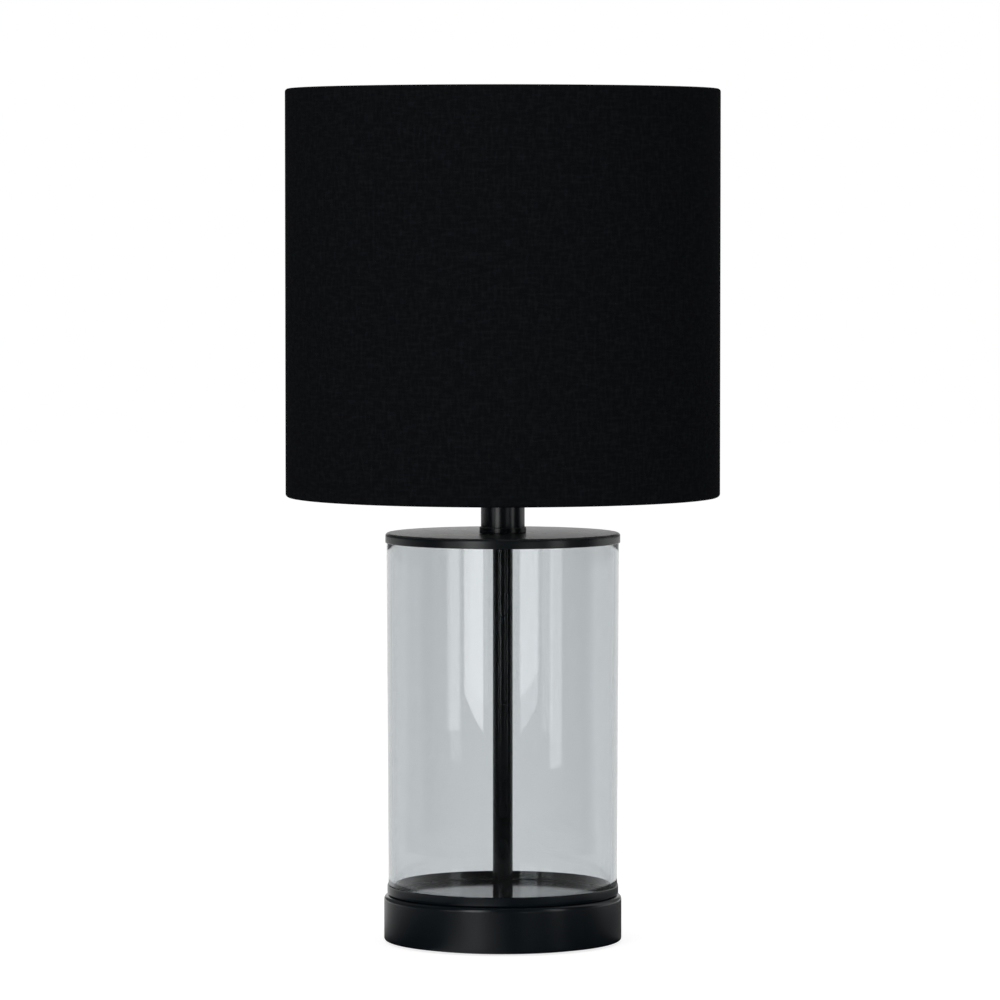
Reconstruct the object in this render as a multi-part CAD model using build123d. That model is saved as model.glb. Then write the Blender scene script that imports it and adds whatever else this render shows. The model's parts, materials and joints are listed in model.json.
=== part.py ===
from build123d import *
import math
import os

# Glass table lamp: a black drum shade on a switched lampholder, a clear glass cylinder held between two
# pressed pans, and a weighted round base. One hollow threaded tube draws the whole stack together.
# Millimetres, +Z up, origin at the middle of the felt underside. The front faces -Y.

# Clearances
overrun = 1.0  # how far a cut runs past the face that it opens
slip_gap = 0.2  # radial room of pieces put together by hand
seat_gap = 0.05  # room between curved faces that seat on each other
thread_gap = 0.1  # radial room that stands for a screw thread
shaft_gap = 0.06  # radial room of the switch shaft in the holder's wall
turn_gap = 0.3  # room between pieces that turn or slide past each other
glue_gap = 0.1  # layer of glue between the shade's layers

# Base drum
base_diameter = 119.2
base_height = 22.7
base_sheet = 1.0
base_top_radius = 2.0
base_foot_radius = 1.2
base_flange_width = 5.0
felt_drop = 0.8  # how far the felt stands below the drum
felt_gap = 0.5
cover_thickness = 1.2
weight_thickness = 12.0
weight_web = 5.0  # what is left of the weight above the nut recess
weight_gap = 0.3
recess_gap = 1.5  # room round the washer and the grommet in the weight

# Centre tube, nut and washer
tube_diameter = 10.0
tube_bore = 7.0
tube_stub = 1.0  # how far the tube stands out of its nut
nut_width = 14.0  # across the flats
nut_height = 4.0
nut_chamfer = 0.6
washer_diameter = 24.0
washer_thickness = 1.2

# Cord inlet
cord_bore = 6.2
grommet_wall = 1.4
grommet_flange_width = 1.4
grommet_flange_thickness = 1.6
grommet_edge_radius = 0.6
grommet_rise = 0.6  # gap from the bottom cover to the grommet's flange

# Tray, glass and cap
pan_sheet = 0.5
pan_corner_radius = 1.4
tray_inset = 1.6  # how far the tray stands in from the drum's wall
tray_height = 5.2
tray_rise = 0.8  # how far the tray's middle stands above the glass's seat
tray_step_angle = 45.0
tray_step_bend = 1.2
cap_oversail = 0.85  # how far the cap stands out past the tray
cap_height = 4.9
glass_gap = 0.1  # radial room between the glass and the pans' lips
glass_height = 179.3
glass_wall = 2.5
glass_edge_radius = 0.8
gasket_thickness = 0.8
gasket_width = 2.2
gasket_room = 0.4  # from the gasket to the tray's raised middle

# Neck
collar_diameter = 23.4
collar_height = 3.0
collar_floor = 1.0
collar_edge_radius = 0.5
neck_diameter = 22.0
neck_wall = 1.0
neck_length = 31.0
neck_plate_thickness = 1.5
neck_spigot_height = 2.0

# Lampholder
holder_diameter = 36.0
holder_wall = 2.5
holder_foot_diameter = 24.0
holder_dish_height = 6.0
holder_base_height = 10.0
holder_corner_radius = 2.5
hub_diameter = 16.0
hub_drop = 1.5  # how far the hub stays below the dish's rim
skirt_height = 10.0
shoulder_diameter = 45.0
shoulder_height = 3.0
shoulder_radius = 1.0
holder_floor = 4.0
ring_thread_diameter = 39.0
ring_thread_height = 12.0
sleeve_height = 15.0
sleeve_edge_radius = 1.2
screw_shell_sheet = 0.5
screw_shell_rim = 1.5  # how far the holder's sleeve stands above the screw shell
screw_flange_bore = 15.0

# Holder screws
screw_diameter = 3.0
screw_circle = 20.0
screw_head_diameter = 5.0
screw_head_height = 1.8
screw_slot_width = 0.8
screw_slot_depth = 0.8
screw_tip_gap = 1.0
boss_wall = 1.5

# Centre contact, a folded brass strip
contact_sheet = 0.4
contact_width = 5.0
contact_length = 9.0
contact_rise = 3.2
contact_bend_radius = 0.6
contact_tongue_share = 0.7  # of the contact's length
contact_lift_share = 0.75  # of the contact's rise, reached at the fold

# Switch
shaft_diameter = 4.0
shaft_tail = 3.0  # from the shaft's inner end to the lamp's axis
rotor_width = 6.0
rotor_corner_radius = 1.2
rotor_length = 6.0
rotor_start = 4.0
leaf_sheet = 0.5
leaf_width = 5.0
leaf_drop = 8.0
knob_standoff = 8.0
knob_diameter = 11.0
knob_length = 13.0
knob_edge_radius = 1.0
knob_flutes = 12
knob_flute_diameter = 1.6
knob_skirt_length = 2.5
knob_grip = 9.0  # depth of the shaft in the knob

# Shade ring nut
shade_ring_diameter = 52.0
shade_ring_height = 6.0
shade_ring_edge_radius = 0.8
shade_ring_grips = 16
shade_ring_grip_diameter = 4.0

# Shade
shade_diameter = 217.4
shade_height = 203.6
shade_recess = 38.4  # from the shade's bottom edge up to the fitter's underside
fabric_thickness = 0.6
liner_thickness = 0.5
hem_height = 5.0
hem_radius = 1.6
wire_diameter = 3.0
fitter_diameter = 60.0
fitter_thickness = 1.2
fitter_gap = 0.5
arm_count = 3
arm_first_angle = 60.0
arm_bend_radius = 10.0
arm_weld_share = 0.3  # of the wire, how far above the hoop's middle an arm ends
arm_overlap = 3.0  # length of an arm that lies in the fitter

# Bulb
lamp_cap_diameter = 26.3
lamp_cap_height = 27.0  # from the contact to the cap's upper rim
lamp_cap_sheet = 0.5
lamp_cap_gap = 0.4  # radial room in the screw shell
lamp_cap_corner = 3.0
bulb_length = 108.0
globe_diameter = 60.0
globe_wall = 0.8
neck_insert = 5.0  # how deep the globe's neck goes into the cap
neck_rise = 4.6  # straight neck above the cap
insulator_height = 4.0
insulator_foot_diameter = 11.0
insulator_top_diameter = 20.0
bulb_contact_diameter = 9.0
bulb_contact_height = 1.6

# Heights of the stack, from the felt upwards
base_bottom = felt_drop
base_top = base_bottom + base_height
cover_bottom = base_bottom + base_sheet
cover_top = cover_bottom + cover_thickness
weight_top = base_top - base_sheet
weight_bottom = weight_top - weight_thickness
recess_top = weight_top - weight_web
nut_top = recess_top - washer_thickness
tube_bottom = nut_top - nut_height - tube_stub
tray_floor = base_top + pan_sheet
glass_bottom = tray_floor + gasket_thickness
glass_top = glass_bottom + glass_height
cap_underside = glass_top + gasket_thickness
cap_top = cap_underside + pan_sheet
neck_bottom = cap_top + collar_floor
neck_top = neck_bottom + neck_length
holder_bottom = neck_top + neck_plate_thickness
skirt_bottom = holder_bottom + holder_base_height
hub_top = skirt_bottom - hub_drop
tube_top = hub_top
shoulder_bottom = skirt_bottom + skirt_height
shoulder_top = shoulder_bottom + shoulder_height
ring_thread_top = shoulder_top + ring_thread_height
holder_top = ring_thread_top + sleeve_height
holder_floor_top = shoulder_bottom + holder_floor
fitter_top = shoulder_top + fitter_thickness
fitter_middle = shoulder_top + fitter_thickness / 2
shade_bottom = shoulder_top - shade_recess
shade_top = shade_bottom + shade_height
shaft_height = skirt_bottom + skirt_height / 2
bulb_bottom = holder_floor_top + contact_rise + 2 * contact_sheet + turn_gap

# Radii that several pieces share
base_inner_radius = base_diameter / 2 - base_sheet
tray_diameter = base_diameter - 2 * tray_inset
cap_diameter = tray_diameter + 2 * cap_oversail
glass_foot_radius = tray_diameter / 2 - pan_sheet - glass_gap
tray_step_radius = tray_diameter / 2 - pan_sheet - pan_corner_radius - gasket_width - gasket_room
glass_rim_radius = cap_diameter / 2 - pan_sheet - glass_gap
tube_hole = tube_diameter + 2 * slip_gap
tube_thread_hole = tube_diameter + 2 * thread_gap
neck_bore = neck_diameter - 2 * neck_wall
holder_bore = holder_diameter - 2 * holder_wall
screw_shell_bore = lamp_cap_diameter + 2 * lamp_cap_gap
screw_shell_diameter = screw_shell_bore + 2 * screw_shell_sheet
screw_hole = screw_diameter + 2 * thread_gap
liner_outer_radius = shade_diameter / 2 - fabric_thickness - glue_gap
liner_inner_radius = liner_outer_radius - liner_thickness
hoop_radius = liner_inner_radius - glue_gap - wire_diameter / 2
hem_inner_radius = hoop_radius - wire_diameter / 2 - glue_gap - fabric_thickness
bottom_hoop_height = shade_bottom + fabric_thickness + glue_gap + wire_diameter / 2
top_hoop_height = shade_top - fabric_thickness - glue_gap - wire_diameter / 2
grommet_barrel = cord_bore + 2 * grommet_wall
grommet_flange = grommet_barrel + 2 * grommet_flange_width
grommet_height = cover_top + grommet_rise + grommet_flange / 2

standing = (Align.CENTER, Align.CENTER, Align.MIN)


def upright(diameter, bottom, top):
    # Cylinder on the lamp's axis between two heights.
    return Pos(0, 0, bottom) * Cylinder(diameter / 2, top - bottom, align=standing)


def collar(outer, inner, bottom, top):
    # Flat ring on the lamp's axis between two heights.
    return upright(outer, bottom, top) - upright(inner, bottom - overrun, top + overrun)


def along_x(diameter, near, far, height):
    return Pos(near, 0, height) * Rot(0, 90, 0) * Cylinder(diameter / 2, far - near, align=standing)


def along_y(diameter, near, far, height):
    return Pos(0, near, height) * Rot(-90, 0, 0) * Cylinder(diameter / 2, far - near, align=standing)


def turned(points, radii):
    # Solid of revolution: (radius, height) points of a closed section and the rounding at each.
    section = make_face(FilletPolyline(*points, radius=radii, close=True))
    return revolve(Plane.XZ * section, Axis.Z)


def inner_bend(outer_radius, sheet):
    # Inside radius of a bent sheet, sharp where the sheet is thicker than the bend.
    return max(outer_radius - sheet, 0)


def screw_places():
    return [(0, side * screw_circle / 2) for side in (-1, 1)]


# Base


def felt_pad():
    radius = base_diameter / 2 - base_flange_width - felt_gap
    return upright(2 * radius, 0, cover_bottom)


def bottom_cover():
    # Plain disc on the rolled foot, clear of the foot's bend.
    return upright(2 * (base_inner_radius - base_foot_radius), cover_bottom, cover_top)


def base_shell():
    # Pressed drum: flat top, straight wall and a foot rolled in under the cover.
    radius = base_diameter / 2
    hole = tube_hole / 2
    lip = radius - base_flange_width
    top_bend = inner_bend(base_top_radius, base_sheet)
    foot_bend = inner_bend(base_foot_radius, base_sheet)
    points = [
        (hole, base_top),
        (radius, base_top),
        (radius, base_bottom),
        (lip, base_bottom),
        (lip, cover_bottom),
        (base_inner_radius, cover_bottom),
        (base_inner_radius, weight_top),
        (hole, weight_top),
    ]
    radii = [0, base_top_radius, base_foot_radius, 0, 0, foot_bend, top_bend, 0]
    inlet = along_y(grommet_barrel + 2 * slip_gap, 0, base_diameter, grommet_height)
    return turned(points, radii) - inlet


def base_weight():
    # Cast disc, hollowed below for the nut and for the cord's way to it.
    radius = base_inner_radius - weight_gap
    disc = upright(2 * radius, weight_bottom, weight_top)
    disc = chamfer(disc.edges().group_by(Axis.Z)[-1], base_top_radius)
    recess = upright(washer_diameter + 2 * recess_gap, weight_bottom - overrun, recess_top)
    channel_top = grommet_height + grommet_flange / 2 + recess_gap
    channel_width = grommet_flange + 2 * recess_gap
    channel_height = channel_top - weight_bottom + overrun
    rearward = (Align.CENTER, Align.MIN, Align.MIN)
    channel = Box(channel_width, radius + overrun, channel_height, align=rearward)
    channel = Pos(0, 0, weight_bottom - overrun) * channel
    web_top = upright(washer_diameter + 2 * recess_gap, recess_top, weight_top)
    hole = upright(tube_hole, weight_bottom, weight_top + overrun)
    return disc - recess - (channel - web_top) - hole


def cord_grommet():
    # Rubber bush with a groove that the drum's wall fills.
    inside = base_inner_radius - grommet_flange_thickness
    outside = base_diameter / 2 + grommet_flange_thickness
    body = along_y(grommet_flange, inside, outside, grommet_height)
    body = fillet(body.edges().filter_by(GeomType.CIRCLE).group_by(Axis.Y)[-1], grommet_edge_radius)
    wall = collar(base_diameter + 2 * seat_gap, 2 * (base_inner_radius - seat_gap), 0, base_top)
    barrel = along_y(grommet_barrel, inside, outside, grommet_height)
    bore = along_y(cord_bore, 0, base_diameter, grommet_height)
    return body - wall + barrel - bore


def base_washer():
    return collar(washer_diameter, tube_hole, nut_top, recess_top)


def base_nut():
    prism = extrude(RegularPolygon(nut_width / 2, 6, major_radius=False), nut_height)
    cone_radius = nut_width / 2 - nut_chamfer
    corner_radius = nut_width / math.sqrt(3)
    points = [
        (0, 0),
        (cone_radius, 0),
        (corner_radius, nut_chamfer),
        (corner_radius, nut_height),
        (0, nut_height),
    ]
    blank = turned(points, [0] * len(points))
    nut = Pos(0, 0, nut_top - nut_height) * (prism & blank)
    return nut - upright(tube_thread_hole, nut_top - nut_height - overrun, nut_top + overrun)


def centre_tube():
    return collar(tube_diameter, tube_bore, tube_bottom, tube_top)


# Glass between its two pans


def glass_tray():
    # Pressed pan: a lip turned up round the foot of the glass and a raised middle that centres it.
    radius = tray_diameter / 2
    step = tray_step_radius
    run = tray_rise / math.tan(math.radians(tray_step_angle))
    shift = pan_sheet * math.tan(math.radians(tray_step_angle / 2))
    hole = tube_hole / 2
    lip = base_top + tray_height
    lip_bend = inner_bend(pan_corner_radius, pan_sheet)
    step_bend = inner_bend(tray_step_bend, pan_sheet)
    points = [
        (hole, base_top + tray_rise),
        (step - run - shift, base_top + tray_rise),
        (step - shift, base_top),
        (radius, base_top),
        (radius, lip),
        (radius - pan_sheet, lip),
        (radius - pan_sheet, tray_floor),
        (step, tray_floor),
        (step - run, tray_floor + tray_rise),
        (hole, tray_floor + tray_rise),
    ]
    radii = [0, step_bend, tray_step_bend, pan_corner_radius, 0, 0, lip_bend, step_bend, tray_step_bend, 0]
    return turned(points, radii)


def top_cap():
    # Pressed pan with its lip turned down over the rim of the glass.
    radius = cap_diameter / 2
    hole = tube_hole / 2
    lip = cap_top - cap_height
    points = [
        (hole, cap_top),
        (radius, cap_top),
        (radius, lip),
        (radius - pan_sheet, lip),
        (radius - pan_sheet, cap_underside),
        (hole, cap_underside),
    ]
    return turned(points, [0, pan_corner_radius, 0, 0, inner_bend(pan_corner_radius, pan_sheet), 0])


def gasket(pan_diameter, bottom):
    # Flat clear ring, clear of the pan's bent corner.
    outer = pan_diameter - 2 * (pan_sheet + pan_corner_radius)
    return collar(outer, outer - 2 * gasket_width, bottom, bottom + gasket_thickness)


def glass_cylinder():
    # Slightly tapered tube with fire-polished edges.
    points = [
        (glass_foot_radius - glass_wall, glass_bottom),
        (glass_foot_radius, glass_bottom),
        (glass_rim_radius, glass_top),
        (glass_rim_radius - glass_wall, glass_top),
    ]
    return turned(points, glass_edge_radius)


# Neck


def neck_collar():
    # Cup that stands on the cap and takes the foot of the neck.
    cup = collar(collar_diameter, tube_hole, cap_top, cap_top + collar_height)
    rim = cup.edges().filter_by(GeomType.CIRCLE).group_by(Axis.Z)[-1]
    cup = fillet(rim.sort_by(SortBy.RADIUS)[-1], collar_edge_radius)
    return cup - upright(neck_diameter + 2 * seat_gap, neck_bottom, neck_top)


def neck_tube():
    return collar(neck_diameter, neck_bore, neck_bottom, neck_top)


def neck_plate():
    # Lid of the neck, with a spigot that centres it.
    plate = upright(neck_diameter, neck_top, holder_bottom)
    spigot = upright(neck_bore - 2 * slip_gap, neck_top - neck_spigot_height, neck_top)
    return plate + spigot - upright(tube_hole, neck_bottom, holder_top)


# Lampholder


def holder_base():
    # Moulded dish that screws onto the tube, with two bosses for the long screws.
    radius = holder_diameter / 2
    foot = holder_foot_diameter / 2
    dish_top = holder_bottom + holder_dish_height
    floor = holder_bottom + holder_wall
    outside = [
        (0, holder_bottom),
        (foot, holder_bottom),
        (radius, dish_top),
        (radius, skirt_bottom),
        (0, skirt_bottom),
    ]
    inside = [
        (hub_diameter / 2, floor),
        (foot - holder_wall / 2, floor),
        (holder_bore / 2, dish_top),
        (holder_bore / 2, skirt_bottom + overrun),
        (hub_diameter / 2, skirt_bottom + overrun),
    ]
    cavity = turned(inside, [0] * len(inside))
    for x, y in screw_places():
        boss = upright(screw_hole + 2 * boss_wall, holder_bottom, skirt_bottom)
        cavity = cavity - Pos(x, y, 0) * boss
    body = turned(outside, [0, 0, holder_corner_radius, 0, 0]) - cavity
    body = body - upright(hub_diameter, hub_top, skirt_bottom + overrun)
    body = body - upright(tube_thread_hole, holder_bottom - overrun, holder_top)
    for x, y in screw_places():
        body = body - Pos(x, y, 0) * upright(screw_hole, floor, skirt_bottom + overrun)
    return body


def holder_body():
    # Moulded upper half: switch chamber below, shoulder and ring thread outside, sleeve for the bulb above.
    skirt = holder_diameter / 2
    shoulder = shoulder_diameter / 2
    thread = ring_thread_diameter / 2
    chamber = holder_bore / 2
    sleeve_bore = screw_shell_diameter / 2 + slip_gap
    points = [
        (0, shoulder_bottom),
        (chamber, shoulder_bottom),
        (chamber, skirt_bottom),
        (skirt, skirt_bottom),
        (skirt, shoulder_bottom),
        (shoulder, shoulder_bottom),
        (shoulder, shoulder_top),
        (thread, shoulder_top),
        (thread, ring_thread_top),
        (skirt, ring_thread_top),
        (skirt, holder_top),
        (sleeve_bore, holder_top),
        (sleeve_bore, holder_floor_top),
        (0, holder_floor_top),
    ]
    radii = [0] * len(points)
    radii[4] = shoulder_radius
    radii[5] = shoulder_radius
    radii[10] = sleeve_edge_radius
    body = turned(points, radii)
    body = body - along_x(shaft_diameter + 2 * shaft_gap, 0, holder_diameter, shaft_height)
    for x, y in screw_places():
        body = body - Pos(x, y, 0) * upright(screw_hole, skirt_bottom, holder_top)
    return body


def screw_shell():
    # Thin cup that the bulb's cap screws into, its flange held by the two screws.
    outer = screw_shell_diameter / 2
    inner = screw_shell_bore / 2
    flange = screw_flange_bore / 2
    rim = holder_top - screw_shell_rim
    flange_top = holder_floor_top + screw_shell_sheet
    points = [
        (flange, holder_floor_top),
        (outer, holder_floor_top),
        (outer, rim),
        (inner, rim),
        (inner, flange_top),
        (flange, flange_top),
    ]
    shell = turned(points, [0] * len(points))
    for x, y in screw_places():
        shell = shell - Pos(x, y, 0) * upright(screw_hole, holder_floor_top - overrun, flange_top + overrun)
    return shell


def holder_screw():
    seat = holder_floor_top + screw_shell_sheet
    tip = holder_bottom + holder_wall + screw_tip_gap
    head_top = seat + screw_head_height
    slot = Box(screw_head_diameter + 2 * overrun, screw_slot_width, 2 * screw_slot_depth)
    screw = upright(screw_diameter, tip, seat) + upright(screw_head_diameter, seat, head_top)
    return screw - Pos(0, 0, head_top) * slot


def holder_screws():
    return Compound(children=[Pos(x, y, 0) * holder_screw() for x, y in screw_places()])


def centre_contact():
    # Brass strip folded over itself, so that its tongue springs up to the bulb's contact.
    end = contact_length / 2
    tongue = contact_tongue_share * contact_length - end
    fold = contact_lift_share * contact_rise
    start = contact_sheet / 2
    line = FilletPolyline(
        (end, start), (-end, start), (-end + fold, start + fold), (tongue, start + contact_rise),
        radius=contact_bend_radius,
    )
    section = Plane.XZ * make_face(offset(line, contact_sheet / 2, kind=Kind.INTERSECTION))
    return Pos(0, 0, holder_floor_top) * extrude(section, contact_width / 2, both=True)


# Switch


def switch_contacts():
    # Two brass leaves that hang from the holder's floor beside the rotor.
    reach = rotor_width * math.sqrt(2) / 2 + turn_gap
    leaf = Box(leaf_width, leaf_sheet, leaf_drop, align=(Align.CENTER, Align.MIN, Align.MAX))
    middle = rotor_start + rotor_length / 2
    leaves = [Pos(middle, reach, shoulder_bottom) * leaf]
    leaves.append(Pos(middle, -reach - leaf_sheet, shoulder_bottom) * leaf)
    return Compound(children=leaves)


def switch_shaft():
    knob_start = holder_diameter / 2 + knob_standoff
    return along_x(shaft_diameter, shaft_tail, knob_start + knob_grip, shaft_height)


def switch_rotor():
    # Square cam on the shaft, whose corners lift the leaves four times a turn.
    section = RectangleRounded(rotor_width, rotor_width, rotor_corner_radius)
    cam = extrude(Plane.YZ * section, rotor_length)
    cam = Pos(rotor_start, 0, shaft_height) * cam
    bore = along_x(shaft_diameter + 2 * seat_gap, 0, rotor_start + rotor_length + overrun, shaft_height)
    return cam - bore


def switch_knob():
    # Fluted turn knob with a plain skirt.
    start = holder_diameter / 2 + knob_standoff
    knob = Cylinder(knob_diameter / 2, knob_length, align=standing)
    knob = fillet(knob.edges().group_by(Axis.Z)[-1], knob_edge_radius)
    flute = Cylinder(knob_flute_diameter / 2, knob_length, align=standing)
    flutes = [place * flute for place in PolarLocations(knob_diameter / 2, knob_flutes)]
    knob = knob - Pos(0, 0, knob_skirt_length) * Compound(children=flutes)
    knob = Pos(start, 0, shaft_height) * Rot(0, 90, 0) * knob
    return knob - along_x(shaft_diameter + 2 * seat_gap, 0, start + knob_grip, shaft_height)


# Shade


def shade_ring():
    # Ring nut with half-round finger grips.
    bottom = fitter_top + turn_gap
    top = bottom + shade_ring_height
    ring = collar(shade_ring_diameter, ring_thread_diameter + 2 * thread_gap, bottom, top)
    outer_edges = ring.edges().filter_by(GeomType.CIRCLE).sort_by(SortBy.RADIUS)[-2:]
    ring = fillet(outer_edges, shade_ring_edge_radius)
    grip = upright(shade_ring_grip_diameter, bottom - overrun, top + overrun)
    grips = [place * grip for place in PolarLocations(shade_ring_diameter / 2, shade_ring_grips)]
    return ring - Compound(children=grips)


def hoop(height):
    return Pos(0, 0, height) * Torus(hoop_radius, wire_diameter / 2)


def shade_spider():
    # Fitter washer with arms that run out level and bend down to the bottom hoop.
    washer = collar(fitter_diameter, ring_thread_diameter + 2 * fitter_gap, shoulder_top, fitter_top)
    start = fitter_diameter / 2 - arm_overlap
    foot = bottom_hoop_height + arm_weld_share * wire_diameter
    path = FilletPolyline(
        (start, 0, fitter_middle), (hoop_radius, 0, fitter_middle), (hoop_radius, 0, foot),
        radius=arm_bend_radius,
    )
    arm = sweep(Plane(origin=path @ 0, z_dir=path % 0) * Circle(wire_diameter / 2), path=path)
    spider = washer
    for index in range(arm_count):
        spider = spider + Rot(0, 0, arm_first_angle + index * 360 / arm_count) * arm
    return spider - hoop(bottom_hoop_height)


def shade_liner():
    bottom = shade_bottom + hem_radius
    top = shade_top - hem_radius
    return collar(2 * liner_outer_radius, 2 * liner_inner_radius, bottom, top)


def shade_fabric():
    # Cloth tube whose two edges are rolled in round the hoops.
    outer = shade_diameter / 2
    cloth = fabric_thickness
    hem = hem_inner_radius
    bend = inner_bend(hem_radius, cloth)
    points = [
        (hem, shade_bottom + hem_height),
        (hem, shade_bottom),
        (outer, shade_bottom),
        (outer, shade_top),
        (hem, shade_top),
        (hem, shade_top - hem_height),
        (hem + cloth, shade_top - hem_height),
        (hem + cloth, shade_top - cloth),
        (outer - cloth, shade_top - cloth),
        (outer - cloth, shade_bottom + cloth),
        (hem + cloth, shade_bottom + cloth),
        (hem + cloth, shade_bottom + hem_height),
    ]
    rolled = [0, hem_radius, hem_radius, hem_radius, hem_radius, 0]
    return turned(points, rolled + [0, bend, bend, bend, bend, 0])


# Bulb


def globe_section(inset):
    # Half outline of the globe, moved inwards by inset: straight neck, hollow blend, round top.
    neck_radius = lamp_cap_diameter / 2 - lamp_cap_sheet - slip_gap
    globe_radius = globe_diameter / 2
    middle = bulb_bottom + bulb_length - globe_radius
    drop = middle - (bulb_bottom + lamp_cap_height + neck_rise)
    blend_radius = (drop ** 2 + neck_radius ** 2 - globe_radius ** 2) / (2 * (globe_radius - neck_radius))
    neck = neck_radius - inset
    globe = globe_radius - inset
    share = globe / (globe_radius + blend_radius)
    foot = bulb_bottom + lamp_cap_height - neck_insert
    meeting = (share * (neck_radius + blend_radius), middle - share * drop)
    side = Line((neck, foot), (neck, middle - drop))
    waist = TangentArc(side @ 1, meeting, tangent=(0, 1))
    dome = TangentArc(waist @ 1, (0, middle + globe), tangent=waist % 1)
    axis = Line((0, middle + globe), (0, foot))
    base = Line((0, foot), (neck, foot))
    return make_face([side, waist, dome, axis, base])


def bulb_globe():
    solid = revolve(Plane.XZ * globe_section(0), Axis.Z)
    hollow = revolve(Plane.XZ * globe_section(globe_wall), Axis.Z)
    return solid - hollow


def bulb_cap():
    # Metal screw cap, open above for the globe's neck and below for the insulator.
    radius = lamp_cap_diameter / 2
    inner = radius - lamp_cap_sheet
    mouth = insulator_top_diameter / 2
    bottom = bulb_bottom + bulb_contact_height + insulator_height
    top = bulb_bottom + lamp_cap_height
    points = [
        (mouth, bottom),
        (radius, bottom),
        (radius, top),
        (inner, top),
        (inner, bottom + lamp_cap_sheet),
        (mouth, bottom + lamp_cap_sheet),
    ]
    return turned(points, [0, lamp_cap_corner, 0, 0, inner_bend(lamp_cap_corner, lamp_cap_sheet), 0])


def bulb_insulator():
    # Dark glass cone between the cap and the contact.
    bottom = bulb_bottom + bulb_contact_height
    top = bottom + insulator_height
    foot = insulator_foot_diameter / 2
    points = [(0, bottom), (foot, bottom), (insulator_top_diameter / 2, top), (0, top)]
    return turned(points, [0] * len(points))


def bulb_contact():
    return upright(bulb_contact_diameter, bulb_bottom, bulb_bottom + bulb_contact_height)


pieces = {
    "felt_pad": felt_pad(),
    "bottom_cover": bottom_cover(),
    "base_shell": base_shell(),
    "base_weight": base_weight(),
    "cord_grommet": cord_grommet(),
    "base_washer": base_washer(),
    "base_nut": base_nut(),
    "centre_tube": centre_tube(),
    "glass_tray": glass_tray(),
    "lower_gasket": gasket(tray_diameter, tray_floor),
    "glass_cylinder": glass_cylinder(),
    "upper_gasket": gasket(cap_diameter, glass_top),
    "top_cap": top_cap(),
    "neck_collar": neck_collar(),
    "neck_tube": neck_tube(),
    "neck_plate": neck_plate(),
    "holder_base": holder_base(),
    "holder_body": holder_body(),
    "screw_shell": screw_shell(),
    "centre_contact": centre_contact(),
    "holder_screws": holder_screws(),
    "switch_contacts": switch_contacts(),
    "switch_shaft": switch_shaft(),
    "switch_rotor": switch_rotor(),
    "switch_knob": switch_knob(),
    "shade_ring": shade_ring(),
    "shade_spider": shade_spider(),
    "bottom_hoop": hoop(bottom_hoop_height),
    "top_hoop": hoop(top_hoop_height),
    "shade_liner": shade_liner(),
    "shade_fabric": shade_fabric(),
    "bulb_globe": bulb_globe(),
    "bulb_cap": bulb_cap(),
    "bulb_insulator": bulb_insulator(),
    "bulb_contact": bulb_contact(),
}

os.makedirs("parts", exist_ok=True)
for name, shape in pieces.items():
    export_step(shape, f"parts/{name}.step")
print("shade bottom", round(shade_bottom, 2), "shade top", round(shade_top, 2), "cap top", round(cap_top, 2))
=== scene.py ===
import bpy
import json
import math
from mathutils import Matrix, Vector

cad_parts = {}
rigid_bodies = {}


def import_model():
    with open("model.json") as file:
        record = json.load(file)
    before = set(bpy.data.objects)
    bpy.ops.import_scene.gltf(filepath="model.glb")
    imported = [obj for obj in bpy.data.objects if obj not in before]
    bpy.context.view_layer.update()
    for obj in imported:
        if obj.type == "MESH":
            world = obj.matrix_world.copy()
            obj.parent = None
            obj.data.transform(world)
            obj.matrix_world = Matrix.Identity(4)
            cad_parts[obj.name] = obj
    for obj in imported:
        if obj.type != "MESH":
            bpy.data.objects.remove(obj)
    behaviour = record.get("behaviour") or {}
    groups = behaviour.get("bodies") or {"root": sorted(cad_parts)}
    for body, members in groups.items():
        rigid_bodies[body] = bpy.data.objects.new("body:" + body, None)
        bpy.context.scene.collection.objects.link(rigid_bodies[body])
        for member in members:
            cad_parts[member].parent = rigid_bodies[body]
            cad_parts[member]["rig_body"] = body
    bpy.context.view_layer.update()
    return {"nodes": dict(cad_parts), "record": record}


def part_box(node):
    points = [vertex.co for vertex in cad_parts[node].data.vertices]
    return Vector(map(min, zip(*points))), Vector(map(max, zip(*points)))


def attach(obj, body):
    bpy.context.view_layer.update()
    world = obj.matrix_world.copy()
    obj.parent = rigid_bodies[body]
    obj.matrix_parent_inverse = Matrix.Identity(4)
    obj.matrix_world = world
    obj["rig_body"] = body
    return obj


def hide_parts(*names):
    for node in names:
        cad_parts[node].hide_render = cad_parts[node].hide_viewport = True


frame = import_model()
nodes = frame["nodes"]
slotOf = {part["node"]: part["material_slot"] for part in frame["record"]["subparts"]}
mm = 0.001  # sizes below are millimetres, the scene is metres
axis = 0.0005 * mm  # radius that stands for the lamp's axis, merged to one point later
mergeReach = 4 * axis  # points nearer than this are one
wallReach = 10 * axis  # a point this near to a wall is on it
sharpTurn = math.radians(32)  # edges that turn more than this stay sharp
print("frame loaded,", len(nodes), "CAD nodes")


# Small helpers for meshes

def span(node):
    # a round node's radius, bottom and top
    low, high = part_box(node)
    return (high.x - low.x) / 2, low.z, high.z


def midHeight(node):
    low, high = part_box(node)
    return (low.z + high.z) / 2


def nearTurn(angle):
    # the same angle, within half a turn of zero
    return (angle + math.pi) % (2 * math.pi) - math.pi


def arcPoints(centre, radius, start, turn, steps):
    # points of an arc in the section, angles in radians
    angles = [start + turn * k / steps for k in range(steps + 1)]
    return [(centre[0] + radius * math.cos(a), centre[1] + radius * math.sin(a)) for a in angles]


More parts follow.
